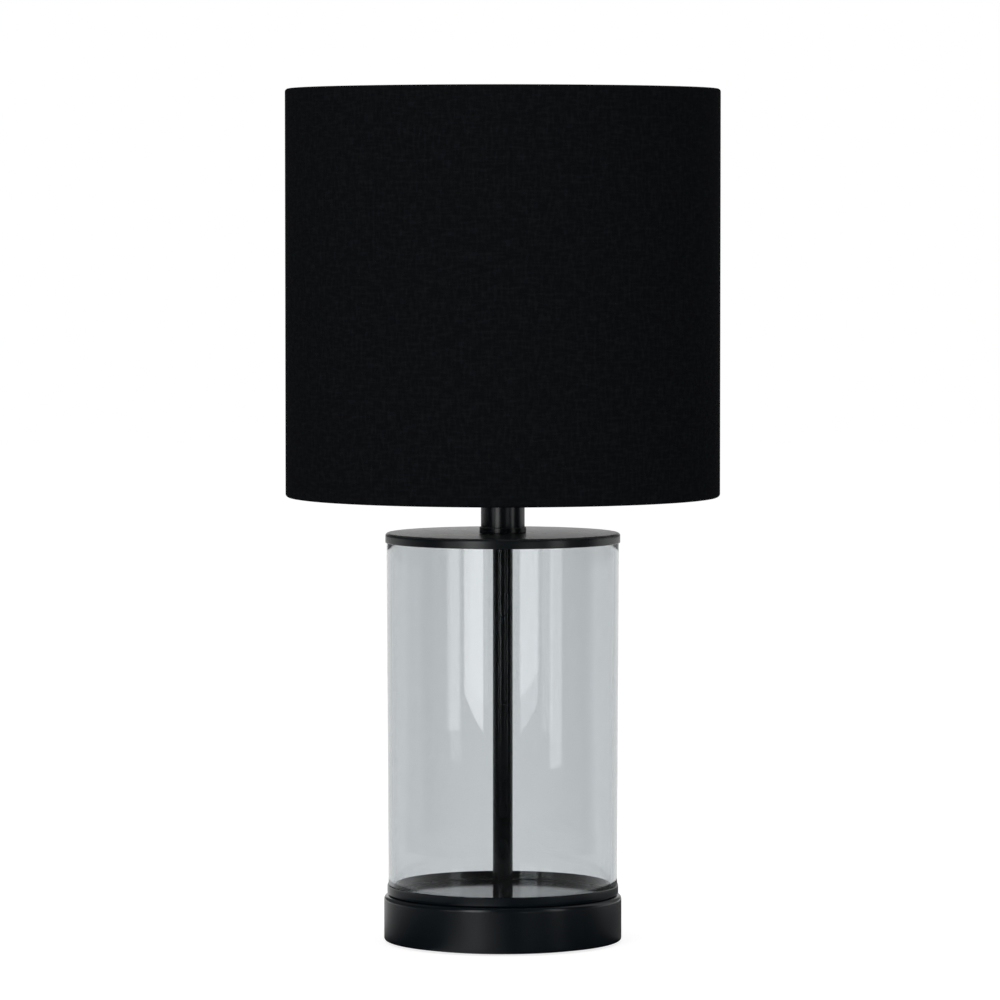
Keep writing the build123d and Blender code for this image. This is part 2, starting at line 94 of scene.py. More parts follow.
def roundedOutline(corners, steps=5):
    # corners are (radius, height, rounding) in metres, in order round the section
    outline = []
    for i, (r, z, rounding) in enumerate(corners):
        if rounding <= 0:
            outline.append((r, z))
            continue
        r0, z0, _ = corners[i - 1]
        r1, z1, _ = corners[(i + 1) % len(corners)]
        a = math.atan2(z0 - z, r0 - r)
        b = math.atan2(z1 - z, r1 - r)
        half = abs(nearTurn(b - a)) / 2
        reach = rounding / math.tan(half)  # from the corner to where the arc starts
        depth = rounding / math.sin(half)  # from the corner to the arc's centre
        start = (r + reach * math.cos(a), z + reach * math.sin(a))
        end = (r + reach * math.cos(b), z + reach * math.sin(b))
        mid = math.atan2(math.sin(a) + math.sin(b), math.cos(a) + math.cos(b))
        centre = (r + depth * math.cos(mid), z + depth * math.sin(mid))
        first = math.atan2(start[1] - centre[1], start[0] - centre[0])
        last = math.atan2(end[1] - centre[1], end[0] - centre[0])
        outline += arcPoints(centre, rounding, first, nearTurn(last - first), steps)
    return outline


def braced(outline, hold=0.3 * mm, longRun=5):
    # adds a ring, one hold in from each end, to straight runs of more than longRun holds: they shade flat
    held = []
    for i, (r0, z0) in enumerate(outline):
        r1, z1 = outline[(i + 1) % len(outline)]
        held.append((r0, z0))
        run = math.dist((r0, z0), (r1, z1))
        if run > longRun * hold:
            for share in (hold / run, 1 - hold / run):
                held.append((r0 + share * (r1 - r0), z0 + share * (z1 - z0)))
    return held


def ringed(outline, radius, low, high, count):
    # adds rings to the upright wall at this radius, ready for a thread
    rings = []
    for i, (r0, z0) in enumerate(outline):
        r1, z1 = outline[(i + 1) % len(outline)]
        rings.append((r0, z0))
        upright = abs(r0 - radius) < axis and abs(r1 - radius) < axis
        if upright and min(z0, z1) <= low and max(z0, z1) >= high:
            heights = [low + (high - low) * k / count for k in range(count + 1)]
            rings += [(radius, z) for z in (heights if z1 > z0 else reversed(heights))]
    return rings


def makeActive(piece):
    bpy.ops.object.select_all(action="DESELECT")
    bpy.context.view_layer.objects.active = piece
    piece.select_set(True)


def selectFaces(piece, chosen):
    # leaves the piece in edit mode with the chosen faces selected
    makeActive(piece)
    bpy.ops.object.mode_set(mode="EDIT")
    bpy.ops.mesh.select_mode(type="FACE")
    bpy.ops.mesh.select_all(action="DESELECT")
    bpy.ops.object.mode_set(mode="OBJECT")
    for face in piece.data.polygons:
        face.select = chosen(face.center)
    bpy.ops.object.mode_set(mode="EDIT")


def startCircle(name, radius, height, segments):
    # leaves a new circle in edit mode with all its points selected
    bpy.ops.object.select_all(action="DESELECT")
    bpy.ops.mesh.primitive_circle_add(vertices=segments, radius=radius)
    piece = bpy.context.object
    piece.name = name
    piece.data.name = name
    bpy.ops.object.mode_set(mode="EDIT")
    bpy.ops.mesh.select_mode(type="VERT")
    bpy.ops.mesh.select_all(action="SELECT")
    bpy.ops.transform.translate(value=(0, 0, height))
    return piece


def extrudeRing(r0, z0, r1, z1):
    # from the selected ring to the next one
    bpy.ops.mesh.extrude_region_move(TRANSFORM_OT_translate={"value": (0, 0, z1 - z0)})
    bpy.ops.transform.resize(value=(r1 / r0, r1 / r0, 1), center_override=(0, 0, z1))


def turnPiece(name, outline, segments=160):
    # a circle, extruded ring by ring along the closed outline
    outline = braced(outline)
    piece = startCircle(name, *outline[0], segments)
    for here, there in zip(outline, outline[1:] + outline[:1]):
        extrudeRing(*here, *there)
    bpy.ops.mesh.select_all(action="SELECT")
    bpy.ops.mesh.remove_doubles(threshold=mergeReach)
    bpy.ops.mesh.delete_loose()
    bpy.ops.mesh.select_all(action="SELECT")
    bpy.ops.mesh.normals_make_consistent(inside=False)
    bpy.ops.object.mode_set(mode="OBJECT")
    bpy.ops.object.shade_smooth_by_angle(angle=sharpTurn)
    return piece


def pressThread(piece, radius, low, high, pitch, depth):
    # moves the wall at this radius along a right-hand helix that runs out at both ends
    for vertex in piece.data.vertices:
        r = math.hypot(vertex.co.x, vertex.co.y)
        if abs(r - radius) > wallReach or not low < vertex.co.z < high:
            continue
        turn = vertex.co.z / pitch * 2 * math.pi - math.atan2(vertex.co.y, vertex.co.x)
        fade = min(1, (vertex.co.z - low) / pitch, (high - vertex.co.z) / pitch)
        scale = 1 - depth * fade * (0.5 - 0.5 * math.cos(turn)) / r
        vertex.co.x *= scale
        vertex.co.y *= scale
    piece.data.update()


def drill(piece, radius, start, end, sides=64):
    # cuts a round hole from one point to another
    start, end = Vector(start), Vector(end)
    bpy.ops.object.select_all(action="DESELECT")
    bpy.ops.mesh.primitive_cylinder_add(vertices=sides, radius=radius, depth=(end - start).length,
                                        location=(start + end) / 2,
                                        rotation=(end - start).to_track_quat("Z", "Y").to_euler())
    bit = bpy.context.object
    makeActive(piece)
    bpy.ops.object.modifier_add(type="BOOLEAN")
    cut = piece.modifiers[-1]
    cut.operation = "DIFFERENCE"
    cut.object = bit
    bpy.ops.object.modifier_apply(modifier=cut.name)
    bpy.data.objects.remove(bit)
    bpy.ops.object.shade_smooth_by_angle(angle=sharpTurn)


def settle(piece, node):
    # puts a finished piece on its node's body, in the node's finish and place
    piece.data.materials.clear()
    piece.data.materials.append(finish[slotOf[node]])
    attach(piece, nodes[node]["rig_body"])
    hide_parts(node)
    return piece


# Small helpers for materials

def linear(hexCode):
    # sRGB hex to the linear colour that sockets take
    channels = [int(hexCode[i:i + 2], 16) / 255 for i in (1, 3, 5)]
    return [c / 12.92 if c <= 0.04045 else ((c + 0.055) / 1.055) ** 2.4 for c in channels] + [1]


def addNode(tree, kind, inputs=None, **settings):
    node = tree.nodes.new(kind)
    for key, value in settings.items():
        setattr(node, key, value)
    for key, value in (inputs or {}).items():
        if isinstance(value, bpy.types.NodeSocket):
            tree.links.new(value, node.inputs[key])
        else:
            node.inputs[key].default_value = value
    return node


def bareMaterial(name):
    material = bpy.data.materials.new(name)
    material.use_nodes = True
    material.node_tree.nodes.clear()
    return material, material.node_tree


def startMaterial(name):
    material, tree = bareMaterial(name)
    shader = addNode(tree, "ShaderNodeBsdfPrincipled")
    addNode(tree, "ShaderNodeOutputMaterial", {"Surface": shader.outputs[0]})
    place = addNode(tree, "ShaderNodeTexCoord").outputs["Object"]
    return material, tree, shader, place


def setSockets(shader, look):
    for socket, value in look["sockets"].items():
        shader.inputs[socket].default_value = value


def giveSurface(tree, shader, look, cloud, height):
    # the cloud moves colour and roughness between the look's two values, the height gives the relief
    tint = addNode(tree, "ShaderNodeMix", {"Factor": cloud, "A": linear(look["tones"][0]),
                                           "B": linear(look["tones"][1])}, data_type="RGBA")
    rough = addNode(tree, "ShaderNodeMapRange", {"Value": cloud, "To Min": look["rough"][0],
                                                 "To Max": look["rough"][1]})
    bump = addNode(tree, "ShaderNodeBump", {"Height": height, "Strength": look["bump"],
                                            "Distance": look["relief"] * mm})
    tree.links.new(tint.outputs["Result"], shader.inputs["Base Color"])
    tree.links.new(rough.outputs[0], shader.inputs["Roughness"])
    tree.links.new(bump.outputs[0], shader.inputs["Normal"])


# Black paint sprayed and baked on steel: near black, with a fine orange peel. It is glossier in the tray
# and on the upright tube, and duller on the cap. Peel, relief and cloud are millimetres.
satin = {"name": "satinBlackPaint", "tones": ("#0e1418", "#141a1f"), "rough": (0.2, 0.26), "shine": 0.42,
         "peel": 0.9, "relief": 0.05, "bump": 0.03, "cloud": 14}
gloss = dict(satin, name="glossBlackPaint", rough=(0.08, 0.12))
dull = dict(satin, name="dullBlackPaint", rough=(0.25, 0.31))
sleek = dict(satin, name="sleekBlackPaint", rough=(0.12, 0.15), shine=0.32)


def blackPaint(look):
    material, tree, shader, place = startMaterial(look["name"])
    peel = addNode(tree, "ShaderNodeTexNoise", {"Vector": place, "Scale": 1 / (look["peel"] * mm),
                                                "Detail": 2})
    cloud = addNode(tree, "ShaderNodeTexNoise", {"Vector": place, "Scale": 1 / (look["cloud"] * mm),
                                                 "Detail": 3})
    giveSurface(tree, shader, look, cloud.outputs[0], peel.outputs[0])
    shader.inputs["Specular IOR Level"].default_value = look["shine"]
    return material


# Drawn soda-lime glass, lightly grey: clear and polished, darker the longer the way through it.
greyGlass = {"name": "lightGreyGlass", "depth": "#eaeced", "density": 700, "wave": 55, "relief": 0.4,
             "bump": 0.02, "sockets": {"Base Color": (1, 1, 1, 1), "Roughness": 0.0, "IOR": 1.5,
                                       "Transmission Weight": 1.0}}


def lightGreyGlass(look):
    material, tree, shader, place = startMaterial(look["name"])
    wave = addNode(tree, "ShaderNodeTexNoise", {"Vector": place, "Scale": 1 / (look["wave"] * mm),
                                                "Detail": 1})
    bump = addNode(tree, "ShaderNodeBump", {"Height": wave.outputs[0], "Strength": look["bump"],
                                            "Distance": look["relief"] * mm})
    tree.links.new(bump.outputs[0], shader.inputs["Normal"])
    grey = addNode(tree, "ShaderNodeVolumeAbsorption", {"Color": linear(look["depth"]),
                                                        "Density": look["density"]})
    tree.links.new(grey.outputs[0], tree.nodes["Material Output"].inputs["Volume"])
    setSockets(shader, look)
    return material


# Black plain-woven cotton laid on styrene: matt, with short slubs in both threads.
shadeWeave = {"name": "blackShadeCloth", "tones": ("#101113", "#17191c"), "thread": 0.9, "slubLong": 6.0,
              "slubHigh": 1.5, "slubRange": (0.45, 0.85), "relief": 0.1, "bump": 0.22,
              "sockets": {"Roughness": 0.95, "Specular IOR Level": 0.01}}


def blackShadeCloth(look):
    material, tree, shader, place = startMaterial(look["name"])
    radius = span("shade_fabric")[0] / mm
    axes = addNode(tree, "ShaderNodeSeparateXYZ", {"Vector": place})
    back = addNode(tree, "ShaderNodeMath", {0: axes.outputs["Y"], 1: -1.0}, operation="MULTIPLY")
    angle = addNode(tree, "ShaderNodeMath", {0: axes.outputs["X"], 1: back.outputs[0]},
                    operation="ARCTAN2")
    across = addNode(tree, "ShaderNodeMath", {0: angle.outputs[0], 1: radius}, operation="MULTIPLY")
    upward = addNode(tree, "ShaderNodeMath", {0: axes.outputs["Z"], 1: 1 / mm}, operation="MULTIPLY")
    # slubs: noise drawn out along the weft, and again along the warp
    slubs = []
    low, high = look["slubRange"]
    for wide, tall in ((look["slubLong"], look["slubHigh"]), (look["slubHigh"], look["slubLong"])):
        slubX = addNode(tree, "ShaderNodeMath", {0: across.outputs[0], 1: 1 / wide}, operation="MULTIPLY")
        slubY = addNode(tree, "ShaderNodeMath", {0: upward.outputs[0], 1: 1 / tall}, operation="MULTIPLY")
        spot = addNode(tree, "ShaderNodeCombineXYZ", {"X": slubX.outputs[0], "Y": slubY.outputs[0]})
        slub = addNode(tree, "ShaderNodeTexNoise", {"Vector": spot.outputs[0], "Scale": 1.0, "Detail": 2})
        slubs.append(addNode(tree, "ShaderNodeMapRange", {"Value": slub.outputs[0], "From Min": low,
                                                          "From Max": high}).outputs[0])
    slubs = addNode(tree, "ShaderNodeMath", {0: slubs[0], 1: slubs[1]}, operation="ADD")
    # plain weave, drawn at nearly twice the real thread spacing so that it shows
    waves = []
    for way in (across, upward):
        thread = addNode(tree, "ShaderNodeMath", {0: way.outputs[0], 1: math.pi / look["thread"]},
                         operation="MULTIPLY")
        waves.append(addNode(tree, "ShaderNodeMath", {0: thread.outputs[0]}, operation="SINE").outputs[0])
    weave = addNode(tree, "ShaderNodeMath", {0: waves[0], 1: waves[1]}, operation="MULTIPLY")
    lift = addNode(tree, "ShaderNodeMath", {0: weave.outputs[0]}, operation="ABSOLUTE")
    height = addNode(tree, "ShaderNodeMath", {0: lift.outputs[0], 1: slubs.outputs[0]}, operation="ADD")
    tint = addNode(tree, "ShaderNodeMix", {"Factor": slubs.outputs[0], "A": linear(look["tones"][0]),
                                           "B": linear(look["tones"][1])}, data_type="RGBA")
    bump = addNode(tree, "ShaderNodeBump", {"Height": height.outputs[0], "Strength": look["bump"],
                                            "Distance": look["relief"] * mm})
    tree.links.new(tint.outputs["Result"], shader.inputs["Base Color"])
    tree.links.new(bump.outputs[0], shader.inputs["Normal"])
    setSockets(shader, look)
    return material


# Plainer finishes: two tones in cloudy grain, with roughness and relief. Grain and relief are millimetres.
plain = {"stretch": (1, 1, 1), "detail": 4, "cloudRange": (0.3, 0.7), "bump": 0.5, "sockets": {}}
looks = {
    # bright passivated zinc on steel: cool grey with a faint spangle
    "zinc_plated_steel": dict(plain, name="zincPlatedSteel", tones=("#878c90", "#b3b8bb"), grain=2.4,
                              rough=(0.3, 0.44), relief=0.01, sockets={"Metallic": 1.0}),
    # bare sand casting: dark, pitted
    "cast_iron": dict(plain, name="sandCastIron", tones=("#2a2928", "#4a4744"), grain=1.2,
                      rough=(0.55, 0.8), relief=0.15, sockets={"Metallic": 0.8}),
    # moulded rubber: dull black with a dusty bloom
    "black_rubber": dict(plain, name="mouldedRubber", tones=("#0f0f0f", "#1d1d1c"), grain=0.9,
                         rough=(0.6, 0.8), relief=0.02, sockets={"Specular IOR Level": 0.35}),
    # die-cut clear silicone: milky, softly glossy
    "clear_silicone": dict(plain, name="clearSilicone", tones=("#cfd5d6", "#e2e6e6"), grain=5.0,
                           rough=(0.24, 0.36), relief=0.01,
                           sockets={"IOR": 1.41, "Transmission Weight": 0.8}),
    # compression-moulded phenolic: brown black, polished by the tool, faint flow marks
    "black_phenolic": dict(plain, name="mouldedPhenolic", tones=("#0b0a09", "#191512"), grain=5.0,
                           rough=(0.2, 0.32), relief=0.02, sockets={"IOR": 1.55}),
    # drawn and rolled aluminium: pale, with fine lines round it
    "threaded_aluminium": dict(plain, name="rolledAluminium", tones=("#b9bcbe", "#dcdedf"), grain=3.0,
                               stretch=(1, 1, 9), rough=(0.2, 0.36), relief=0.01,
                               sockets={"Metallic": 1.0}),
    # rolled brass strip: yellow, a little tarnished
    "brass": dict(plain, name="rolledBrass", tones=("#a5823a", "#d0b062"), grain=2.2,
                  rough=(0.2, 0.38), relief=0.01, sockets={"Metallic": 1.0}),
    # turned steel screws: grey, with lines from the tool
    "steel_screw": dict(plain, name="turnedSteel", tones=("#8c8f92", "#b9bbbd"), grain=1.2,
                        stretch=(1, 1, 6), rough=(0.24, 0.4), relief=0.01, sockets={"Metallic": 1.0}),
    # moulded nylon in its own ivory colour: waxy
    "switch_plastic": dict(plain, name="mouldedNylon", tones=("#d8d1bd", "#e9e3d3"), grain=4.0,
                           rough=(0.4, 0.52), relief=0.01,
                           sockets={"Subsurface Weight": 0.1, "Subsurface Scale": 0.001}),
    # white powder coat on wire: even, with orange peel
    "white_wire": dict(plain, name="whitePowderCoat", tones=("#dfdfda", "#efefec"), grain=0.9,
                       rough=(0.36, 0.48), relief=0.03),
    # calendered white styrene: warm white film, faint lines along the roll
    "white_styrene": dict(plain, name="whiteStyreneFilm", tones=("#ebeae5", "#efeeea"), grain=26.0,
                          stretch=(1, 1, 7), rough=(0.42, 0.56), relief=0.02),
    # needled wool felt: matt, with light fibres
    "black_felt": dict(plain, name="blackWoolFelt", tones=("#0e0e0f", "#29292b"), grain=0.7, detail=7,
                       rough=(0.9, 1.0), relief=0.5,
                       sockets={"Specular IOR Level": 0.1, "Sheen Weight": 0.08}),
    # opal glass: milk white under a polished skin
    "opal_glass": dict(plain, name="opalBulbGlass", tones=("#ebe9e3", "#f5f4f0"), grain=18.0,
                       rough=(0.1, 0.16), relief=0.01,
                       sockets={"Coat Weight": 0.3, "Coat Roughness": 0.05}),
    # pressed black glass of the bulb's foot: violet black, glossy
    "black_glass": dict(plain, name="blackFootGlass", tones=("#09080c", "#17141b"), grain=3.0,
                        rough=(0.06, 0.16), relief=0.02, sockets={"IOR": 1.55}),
    # soft solder: grey, half dull, with marks of its flow
    "tin_solder": dict(plain, name="softSolder", tones=("#86888b", "#b9babc"), grain=1.5,
                       rough=(0.3, 0.5), relief=0.08, sockets={"Metallic": 1.0}),
}


def plainFinish(look):
    material, tree, shader, place = startMaterial(look["name"])
    scale = [share / (look["grain"] * mm) for share in look["stretch"]]
    spot = addNode(tree, "ShaderNodeMapping", {"Vector": place, "Scale": scale})
    grain = addNode(tree, "ShaderNodeTexNoise", {"Vector": spot.outputs[0], "Scale": 1.0,
                                                 "Detail": look["detail"]})
    low, high = look["cloudRange"]
    cloud = addNode(tree, "ShaderNodeMapRange", {"Value": grain.outputs[0], "From Min": low,
                                                 "From Max": high})
    giveSurface(tree, shader, look, cloud.outputs[0], grain.outputs[0])
    setSockets(shader, look)
    return material


finish = {slot: plainFinish(look) for slot, look in looks.items()}
finish["satin_black_paint"] = blackPaint(satin)
finish["clear_glass"] = lightGreyGlass(greyGlass)
finish["black_shade_cloth"] = blackShadeCloth(shadeWeave)
for name, node in nodes.items():
    for place in node.material_slots:
        place.material = finish[slotOf[name]]
print(len(finish), "finishes made and put on the CAD nodes")


# Pressed drum of the base

baseDrum = {"sheet": 1.0, "topRound": 2.0, "footRound": 1.2, "flange": 5.0, "hole": 10.4, "inlet": 9.4}


def makeBaseDrum(d):
    radius, bottom, top = span("base_shell")
    sheet, lip, hole = d["sheet"] * mm, radius - d["flange"] * mm, d["hole"] / 2 * mm
    corners = [
        (hole, top, 0),
        (radius, top, d["topRound"] * mm),
        (radius, bottom, d["footRound"] * mm),
        (lip, bottom, 0),
        (lip, bottom + sheet, 0),
        (radius - sheet, bottom + sheet, (d["footRound"] - d["sheet"]) * mm),
        (radius - sheet, top - sheet, (d["topRound"] - d["sheet"]) * mm),
        (hole, top - sheet, 0),
    ]
    piece = turnPiece("baseDrum", roundedOutline(corners))
    height = midHeight("cord_grommet")
    drill(piece, d["inlet"] / 2 * mm, (0, radius / 2, height), (0, 2 * radius, height))
    settle(piece, "base_shell")


# Tray and cap: pressed pans, the tray turned up and with a raised middle, the cap turned down

pan = {"sheet": 0.5, "bend": 1.4, "lipRound": 0.2, "hole": 10.4, "rise": 0}
trayPan = dict(pan, rise=0.8, seat=4.5, stepAngle=45, stepBend=1.2)


def makePan(name, node, d, opensUp):
    radius, bottom, top = span(node)
    floor, lip = (bottom, top) if opensUp else (top, bottom)
    way = 1 if opensUp else -1
    sheet, hole, rise = d["sheet"] * mm, d["hole"] / 2 * mm, d["rise"] * mm
    corners = [
        (hole, floor + rise, 0),
        (radius, floor, d["bend"] * mm),
        (radius, lip, d["lipRound"] * mm),
        (radius - sheet, lip, d["lipRound"] * mm),
        (radius - sheet, floor + way * sheet, (d["bend"] - d["sheet"]) * mm),
        (hole, floor + rise + way * sheet, 0),
    ]
    if rise:
        # the sheet climbs to its middle in a sloped step
        slope = math.radians(d["stepAngle"])
        step, run, shift = radius - d["seat"] * mm, rise / math.tan(slope), sheet * math.tan(slope / 2)
        outer, inner = d["stepBend"] * mm, (d["stepBend"] - d["sheet"]) * mm
        corners[1:1] = [(step - run - shift, floor + rise, inner), (step - shift, floor, outer)]
        corners[-1:-1] = [(step, floor + sheet, inner), (step - run, floor + rise + sheet, outer)]
    return settle(turnPiece(name, roundedOutline(corners)), node)


# Glass cylinder with fire-polished ends

glassTube = {"wall": 2.5, "edge": 0.8, "room": 0.1}


def makeGlassTube(d):
    radius, bottom, top = span("glass_cylinder")
    foot = span("glass_tray")[0] - (pan["sheet"] + d["room"]) * mm
    wall, edge = d["wall"] * mm, d["edge"] * mm
    corners = [
        (foot - wall, bottom, edge),
        (foot, bottom, edge),
        (radius, top, edge),
        (radius - wall, top, edge),
    ]
    settle(turnPiece("glassTube", roundedOutline(corners), segments=256), "glass_cylinder")


# Upright tube, neck and collar

uprightTube = {"bore": 7.0, "edge": 0.3}
neckTube = {"wall": 1.0, "edge": 0.2}
neckCollar = {"floor": 1.0, "hole": 10.4, "recess": 22.1, "edge": 0.5, "foot": 0.2}


def makeTube(name, node, bore, edge):
    radius, bottom, top = span(node)
    corners = [(bore, bottom, 0), (radius, bottom, edge), (radius, top, edge), (bore, top, 0)]
    return settle(turnPiece(name, roundedOutline(corners), segments=96), node)


def makeCollar(d):
    radius, bottom, top = span("neck_collar")
    floor = bottom + d["floor"] * mm
    corners = [
        (d["hole"] / 2 * mm, bottom, 0),
        (radius, bottom, d["foot"] * mm),
        (radius, top, d["edge"] * mm),
        (d["recess"] / 2 * mm, top, 0),
        (d["recess"] / 2 * mm, floor, 0),
        (d["hole"] / 2 * mm, floor, 0),
    ]
    settle(turnPiece("neckCollar", roundedOutline(corners), segments=96), "neck_collar")


# Shade cloth, rolled in round the two hoops

shadeCloth = {"thick": 0.6, "hem": 5.0, "hemDepth": 5.0, "roll": 1.6,
              "lap": 12.0, "lapStep": 0.4, "lapEdge": 0.25}


def lapSeam(piece, radius, d):
    # the cloth's outer end lies over its start at the back: a step on one side, run out on the other
    half, edge = d["lap"] / 2 * mm, d["lapEdge"] * mm
    for x in (half, half - edge, -half):
        selectFaces(piece, lambda centre: centre.y > 0 and abs(centre.x - x) < 2 * half)
        bpy.ops.mesh.bisect(plane_co=(x, 0, 0), plane_no=(1, 0, 0))
        bpy.ops.object.mode_set(mode="OBJECT")
    for vertex in piece.data.vertices:
        x, r = vertex.co.x, math.hypot(vertex.co.x, vertex.co.y)
        if vertex.co.y > 0 and -half < x < half - edge / 2 and r > radius - d["thick"] / 2 * mm:
            rise = d["lapStep"] * mm * min(1, (x + half) / half)
            vertex.co.x *= (r + rise) / r
            vertex.co.y *= (r + rise) / r
    bpy.ops.object.shade_smooth_by_angle(angle=sharpTurn)


def makeShadeCloth(d):
    radius, bottom, top = span("shade_fabric")
    thick, hem, roll = d["thick"] * mm, d["hem"] * mm, d["roll"] * mm
    inner = radius - d["hemDepth"] * mm
    inRoll = roll - thick
    corners = [
        (inner, bottom + hem, 0),
        (inner, bottom, roll),
        (radius, bottom, roll),
        (radius, top, roll),
        (inner, top, roll),
        (inner, top - hem, 0),
        (inner + thick, top - hem, 0),
        (inner + thick, top - thick, inRoll),
        (radius - thick, top - thick, inRoll),
        (radius - thick, bottom + thick, inRoll),
        (inner + thick, bottom + thick, inRoll),
        (inner + thick, bottom + hem, 0),
    ]
    piece = turnPiece("shadeCloth", roundedOutline(corners), segments=256)
    lapSeam(piece, radius, d)
    settle(piece, "shade_fabric")


# Felt under the base

feltPad = {"edge": 0.6}


def makeFeltPad(d):
    radius, bottom, top = span("felt_pad")
    edge = d["edge"] * mm
    corners = [(radius, bottom, edge), (radius, top, edge / 2), (axis, top, 0), (axis, bottom, 0)]
    piece = settle(turnPiece("feltPad", roundedOutline(corners), segments=128), "felt_pad")


# Moulded lampholder with the thread for the shade's ring nut

holderBody = {"skirt": 36.0, "bore": 31.0, "shoulderLow": 10.0, "shoulderHigh": 13.0, "floor": 14.0,
              "threadTop": 25.0, "thread": 39.0, "pitch": 2.5, "threadDepth": 0.8, "runIn": 0.3,
              "runOut": 0.5, "rings": 48, "sleeve": 28.5, "round": 1.0, "edge": 0.3, "rim": 1.2,
              "shaftHole": 4.12}


def makeHolderBody(d):
    radius, bottom, top = span("holder_body")
    skirt, bore, thread, sleeve = (d[key] / 2 * mm for key in ("skirt", "bore", "thread", "sleeve"))
    low, high = bottom + d["shoulderLow"] * mm, bottom + d["shoulderHigh"] * mm
    floor, threadTop = bottom + d["floor"] * mm, bottom + d["threadTop"] * mm
    soft, edge = d["round"] * mm, d["edge"] * mm
    corners = [
        (bore, low, 0),
        (bore, bottom, edge),
        (skirt, bottom, edge),
        (skirt, low, soft),
        (radius, low, soft),
        (radius, high, edge),
        (thread, high, 0),
        (thread, threadTop, edge),
        (skirt, threadTop, edge),
        (skirt, top, d["rim"] * mm),
        (sleeve, top, edge),
        (sleeve, floor, 0),
        (axis, floor, 0),
        (axis, low, 0),
    ]
    run = (high + d["runIn"] * mm, threadTop - d["runOut"] * mm)
    piece = turnPiece("holderBody", ringed(roundedOutline(corners), thread, *run, d["rings"]), segments=96)
    pressThread(piece, thread, *run, d["pitch"] * mm, d["threadDepth"] * mm)
    height = midHeight("switch_shaft")
    drill(piece, d["shaftHole"] / 2 * mm, (skirt / 3, 0, height), (2 * skirt, 0, height))
    settle(piece, "holder_body")


# Screw shell in the holder, rolled with the bulb's thread

screwShell = {"sheet": 0.5, "flangeBore": 15.0, "foot": 0.3, "bend": 0.2, "lip": 0.1,
              "pitch": 3.62, "threadDepth": 0.34, "runIn": 2.0, "runOut": 0.5, "rings": 64}


def makeScrewShell(d):
    radius, bottom, top = span("screw_shell")
    sheet, mouth, lip = d["sheet"] * mm, d["flangeBore"] / 2 * mm, d["lip"] * mm
    inner = radius - sheet
    corners = [
        (mouth, bottom, 0),
        (radius, bottom, d["foot"] * mm),
        (radius, top, lip),
        (inner, top, lip),
        (inner, bottom + sheet, d["bend"] * mm),
        (mouth, bottom + sheet, 0),
    ]
    run = (bottom + d["runIn"] * mm, top - d["runOut"] * mm)
    piece = turnPiece("screwShell", ringed(roundedOutline(corners), inner, *run, d["rings"]), segments=96)
    pressThread(piece, inner, *run, d["pitch"] * mm, d["threadDepth"] * mm)
    settle(piece, "screw_shell")


# Bulb: opal globe, screw cap and solder contact

bulbGlobe = {"neck": 24.9, "straight": 9.6, "wall": 0.8, "blendSteps": 14, "globeSteps": 40}
bulbCap = {"sheet": 0.5, "mouth": 20.0, "corner": 3.0, "lip": 0.2, "skirt": 3.0,
           "pitch": 3.62, "threadDepth": 1.0, "rings": 64}
bulbContact = {"dome": 1.4, "domeSteps": 8}


def makeBulbGlobe(d):
    radius, bottom, top = span("bulb_globe")
    neck, wall = d["neck"] / 2 * mm, d["wall"] * mm
    middle, neckTop = top - radius, bottom + d["straight"] * mm
    drop = middle - neckTop
    blend = (drop ** 2 + neck ** 2 - radius ** 2) / (2 * (radius - neck))  # hollow arc from neck to globe
    meet = math.atan2(drop, neck + blend)
    outline = []
    for inset, turnBack in ((0, False), (wall, True)):
        side = [(neck - inset, bottom)]
        side += arcPoints((neck + blend, neckTop), blend + inset, math.pi, -meet, d["blendSteps"])
        side += arcPoints((0, middle), radius - inset, -meet, math.pi / 2 + meet, d["globeSteps"])[1:-1]
        side.append((axis, top - inset))
        outline += reversed(side) if turnBack else side
    settle(turnPiece("bulbGlobe", outline, segments=128), "bulb_globe")


def makeBulbCap(d):
    radius, bottom, top = span("bulb_cap")
    sheet, mouth, lip = d["sheet"] * mm, d["mouth"] / 2 * mm, d["lip"] * mm
    inner, skirt = radius - sheet - d["threadDepth"] * mm, top - d["skirt"] * mm
    corners = [
        (mouth, bottom, 0),
        (radius, bottom, d["corner"] * mm),
        (radius, top, lip),
        (radius - sheet, top, lip),
        (radius - sheet, skirt, 0),
        (inner, skirt, 0),
        (inner, bottom + sheet, 0),
        (mouth, bottom + sheet, 0),
    ]
    run = (bottom + d["corner"] * mm, skirt)
    piece = turnPiece("bulbCap", ringed(roundedOutline(corners), radius, *run, d["rings"]), segments=96)
    pressThread(piece, radius, *run, d["pitch"] * mm, d["threadDepth"] * mm)
    settle(piece, "bulb_cap")


def makeBulbContact(d):
    radius, bottom, top = span("bulb_contact")
    corners = [(radius, bottom, d["dome"] * mm), (radius, top, 0), (axis, top, 0), (axis, bottom, 0)]
    piece = turnPiece("bulbContact", roundedOutline(corners, d["domeSteps"]), segments=64)
    settle(piece, "bulb_contact")


